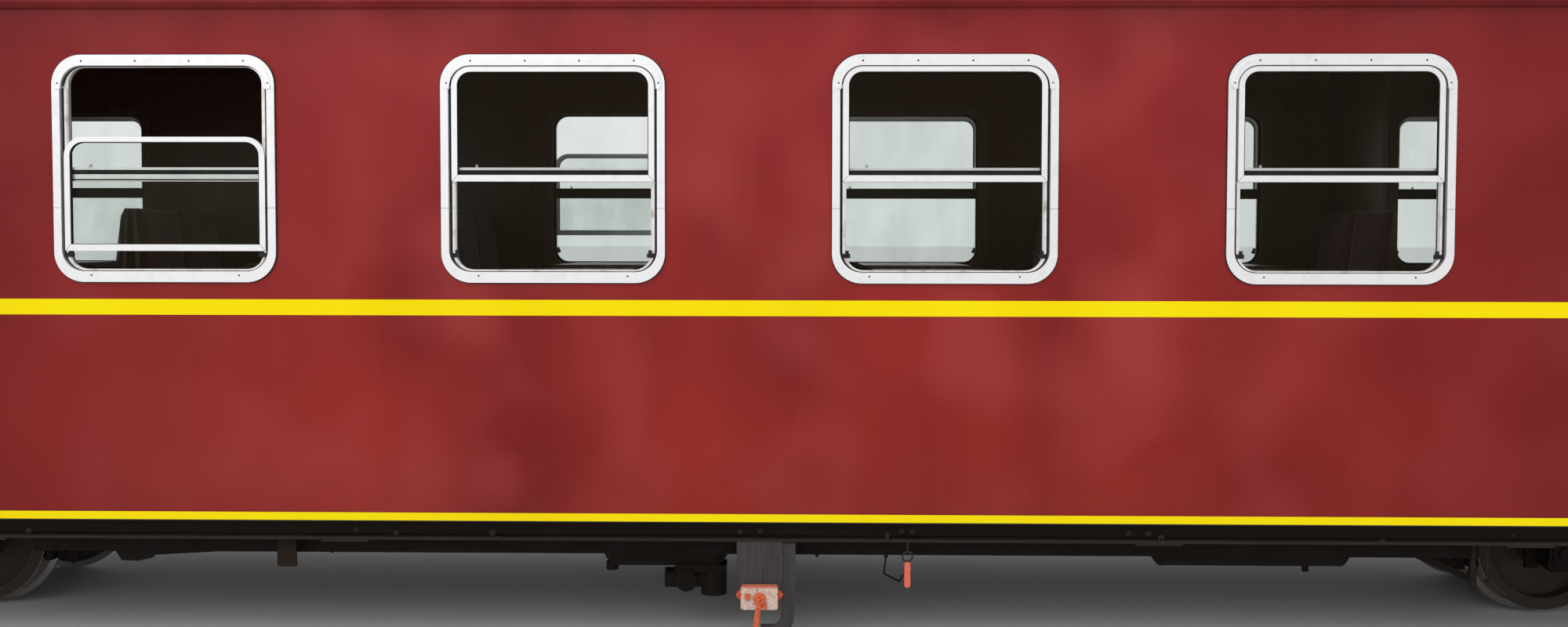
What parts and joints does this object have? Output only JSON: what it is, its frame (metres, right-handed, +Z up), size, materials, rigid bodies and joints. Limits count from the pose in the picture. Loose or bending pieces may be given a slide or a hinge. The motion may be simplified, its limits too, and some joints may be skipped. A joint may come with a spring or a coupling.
{
  "type": "narrow-gauge bogie dining coach",
  "caption": "Narrow-gauge railway dining coach on swivelling bogies, with drop-sash windows, open end platforms with gates, hinged end doors and centre couplers.",
  "frame": {"origin": "middle of the coach's length and width, at the bottom of the wheel flanges", "axes": "+X along the coach to the picture's right, +Y away from the pictured side, +Z up"},
  "size_m": [14.6, 2.474, 3.42],
  "materials": {
    "red_paint": "gloss wine red paint on steel sheet, faded and cloudy in places",
    "roof_grey": "matt grey roof paint, dusty",
    "frame_alloy": "satin natural aluminium extrusion",
    "window_glass": "clear float glass with a faint green edge",
    "underframe_black": "near black paint with brown brake dust",
    "wheel_steel": "rolled steel with brown rust film and bright tread",
    "spring_steel": "dark oiled spring steel with dust",
    "floor_board": "worn brown floor covering",
    "wood_panel": "varnished brown wood panelling",
    "table_top": "varnished table top with rounded edge",
    "seat_cloth": "dark red woven seat cover",
    "platform_plate": "worn grey chequer plate",
    "rail_paint": "black gloss paint on bar and tube",
    "plate_grey": "weathered grey paint on steel plate",
    "box_white": "white paint with orange overpaint, chipped",
    "lever_orange": "orange paint worn to rust at the edges",
    "tag_coral": "coral orange paint on a steel tag",
    "galley_white": "plain off-white laminate",
    "yellow_paint": "gloss yellow enamel of the two stripes, a little dusty low down",
    "black_rubber": "black rubber of window seals, gaskets and sash stops",
    "screw_steel": "dull plated screw, bolt and hinge steel"
  },
  "bodies": {
    "coach_body": {"side_wall_near": "red_paint", "side_wall_far": "red_paint", "end_walls": "red_paint", "roof": "roof_grey", "gutters": "red_paint", "roof_ventilators": "roof_grey", "window_frames": "frame_alloy", "window_sashes": "frame_alloy", "window_panes": "window_glass", "floor": "floor_board", "partitions": "wood_panel", "galley_fittings": "galley_white", "seats": "seat_cloth", "tables": "table_top", "centre_sills": "underframe_black", "cross_bearers": "underframe_black", "body_bolsters": "underframe_black", "side_beams": "underframe_black", "headstocks": "underframe_black", "coupler_pockets": "underframe_black", "solebars": "underframe_black", "platform_floors": "platform_plate", "steps": "platform_plate", "platform_railings": "rail_paint", "brake_pipe_ends": "underframe_black", "air_tanks": "underframe_black", "control_valve": "underframe_black", "brake_cylinder": "underframe_black", "changeover_plates": "plate_grey", "changeover_boxes": "box_white", "changeover_levers": "lever_orange", "release_pulls": "tag_coral", "equipment_hangers": "underframe_black"},
    "bogie_front": {"bogie_frame_front": "underframe_black", "bogie_bolster_front": "underframe_black", "bogie_springs_front": "spring_steel", "axle_boxes_front": "underframe_black", "brake_gear_front": "underframe_black"},
    "bogie_rear": {"bogie_frame_rear": "underframe_black", "bogie_bolster_rear": "underframe_black", "bogie_springs_rear": "spring_steel", "axle_boxes_rear": "underframe_black", "brake_gear_rear": "underframe_black"},
    "wheelset_1": {"wheelset_1": "wheel_steel"},
    "wheelset_2": {"wheelset_2": "wheel_steel"},
    "wheelset_3": {"wheelset_3": "wheel_steel"},
    "wheelset_4": {"wheelset_4": "wheel_steel"},
    "end_door_front": {"end_door_front": "red_paint", "end_door_pane_front": "window_glass"},
    "gate_front_near": {"gate_front_near": "rail_paint"},
    "gate_front_far": {"gate_front_far": "rail_paint"},
    "fall_plate_front": {"fall_plate_front": "platform_plate"},
    "coupler_front": {"coupler_front": "underframe_black"},
    "end_door_rear": {"end_door_rear": "red_paint", "end_door_pane_rear": "window_glass"},
    "gate_rear_near": {"gate_rear_near": "rail_paint"},
    "gate_rear_far": {"gate_rear_far": "rail_paint"},
    "fall_plate_rear": {"fall_plate_rear": "platform_plate"},
    "coupler_rear": {"coupler_rear": "underframe_black"}
  },
  "joints": [
    {"name": "bogie_front_swivel", "type": "hinge", "parent": "coach_body", "child": "bogie_front", "pos_m": [4.5, 0, 0.72], "axis": [0, 0, 1], "range_deg": [-8, 8]},
    {"name": "bogie_rear_swivel", "type": "hinge", "parent": "coach_body", "child": "bogie_rear", "pos_m": [-4.5, 0, 0.72], "axis": [0, 0, 1], "range_deg": [-8, 8]},
    {"name": "wheelset_1_roll", "type": "hinge", "parent": "bogie_front", "child": "wheelset_1", "pos_m": [5.15, 0, 0.351], "axis": [0, 1, 0], "continuous": true},
    {"name": "wheelset_2_roll", "type": "hinge", "parent": "bogie_front", "child": "wheelset_2", "pos_m": [3.85, 0, 0.351], "axis": [0, 1, 0], "continuous": true},
    {"name": "wheelset_3_roll", "type": "hinge", "parent": "bogie_rear", "child": "wheelset_3", "pos_m": [-3.85, 0, 0.351], "axis": [0, 1, 0], "continuous": true},
    {"name": "wheelset_4_roll", "type": "hinge", "parent": "bogie_rear", "child": "wheelset_4", "pos_m": [-5.15, 0, 0.351], "axis": [0, 1, 0], "continuous": true},
    {"name": "end_door_front_hinge", "type": "hinge", "parent": "coach_body", "child": "end_door_front", "pos_m": [6.038, 0.35, 1.89], "axis": [0, 0, -1], "range_deg": [0, 90]},
    {"name": "gate_front_near_hinge", "type": "hinge", "parent": "coach_body", "child": "gate_front_near", "pos_m": [6.125, -1.146, 1.45], "axis": [0, 0, 1], "range_deg": [0, 85]},
    {"name": "gate_front_far_hinge", "type": "hinge", "parent": "coach_body", "child": "gate_front_far", "pos_m": [6.125, 1.146, 1.45], "axis": [0, 0, -1], "range_deg": [0, 85]},
    {"name": "fall_plate_front_hinge", "type": "hinge", "parent": "coach_body", "child": "fall_plate_front", "pos_m": [6.968, 0, 0.938], "axis": [0, 1, 0], "range_deg": [0, 90]},
    {"name": "coupler_front_swing", "type": "hinge", "parent": "coach_body", "child": "coupler_front", "pos_m": [6.5, 0, 0.65], "axis": [0, 0, 1], "range_deg": [-12, 12]},
    {"name": "end_door_rear_hinge", "type": "hinge", "parent": "coach_body", "child": "end_door_rear", "pos_m": [-6.038, 0.35, 1.89], "axis": [0, 0, 1], "range_deg": [0, 90]},
    {"name": "gate_rear_near_hinge", "type": "hinge", "parent": "coach_body", "child": "gate_rear_near", "pos_m": [-6.125, -1.146, 1.45], "axis": [0, 0, -1], "range_deg": [0, 85]},
    {"name": "gate_rear_far_hinge", "type": "hinge", "parent": "coach_body", "child": "gate_rear_far", "pos_m": [-6.125, 1.146, 1.45], "axis": [0, 0, 1], "range_deg": [0, 85]},
    {"name": "fall_plate_rear_hinge", "type": "hinge", "parent": "coach_body", "child": "fall_plate_rear", "pos_m": [-6.968, 0, 0.938], "axis": [0, -1, 0], "range_deg": [0, 90]},
    {"name": "coupler_rear_swing", "type": "hinge", "parent": "coach_body", "child": "coupler_rear", "pos_m": [-6.5, 0, 0.65], "axis": [0, 0, 1], "range_deg": [-12, 12]}
  ]
}
